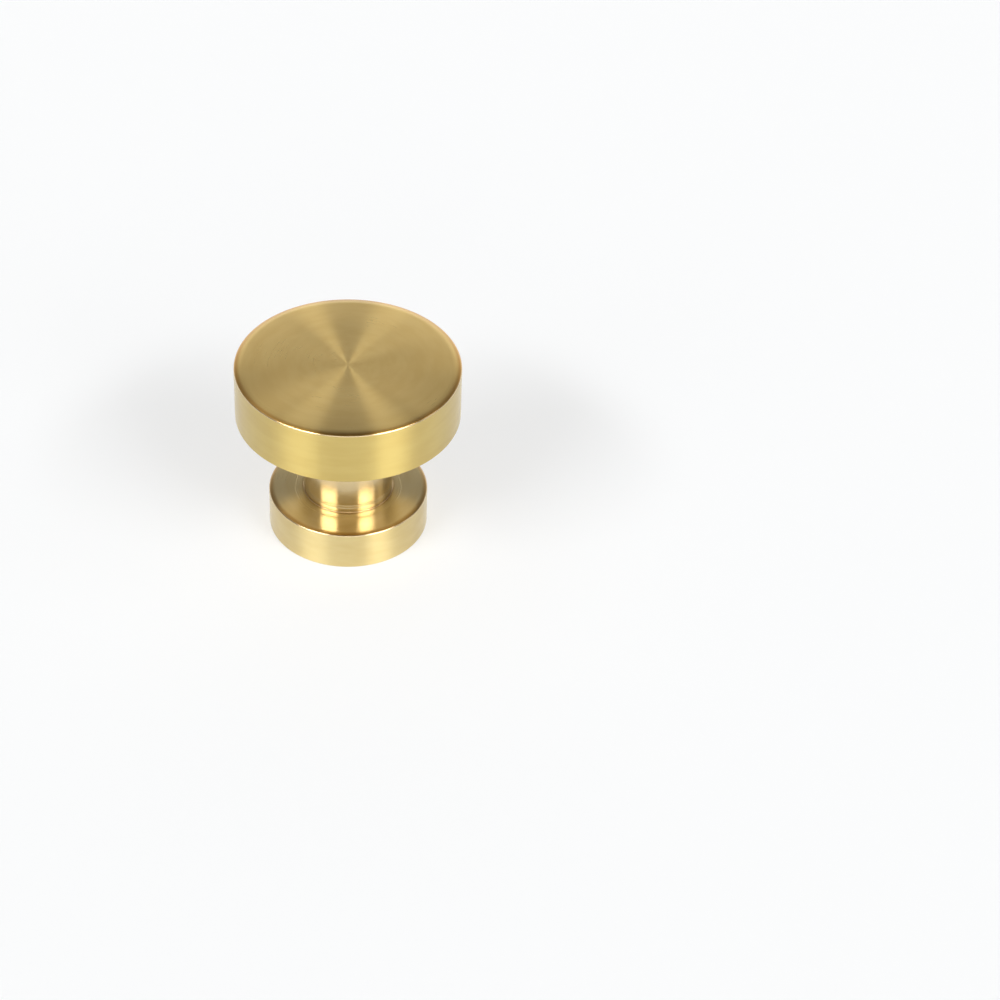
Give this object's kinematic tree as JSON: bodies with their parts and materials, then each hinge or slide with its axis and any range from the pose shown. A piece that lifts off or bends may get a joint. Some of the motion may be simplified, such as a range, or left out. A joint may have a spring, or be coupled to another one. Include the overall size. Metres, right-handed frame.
{
  "type": "cabinet knob",
  "caption": "Round cabinet knob turned from solid brass: a flat disc head with a spun finish on a straight neck and a round base, with a blind screw hole in the back.",
  "frame": {"origin": "centre of the mounting face at the back of the base", "axes": "+Z along the turning axis, away from the cabinet front and out through the head; +X and +Y lie in the mounting face"},
  "size_m": [0.035, 0.035, 0.0302],
  "materials": {
    "spun_brass": "satin brass, turned and finely brushed in circles, the neck left brighter"
  },
  "bodies": {
    "root": {"knob": "spun_brass"}
  },
  "joints": []
}
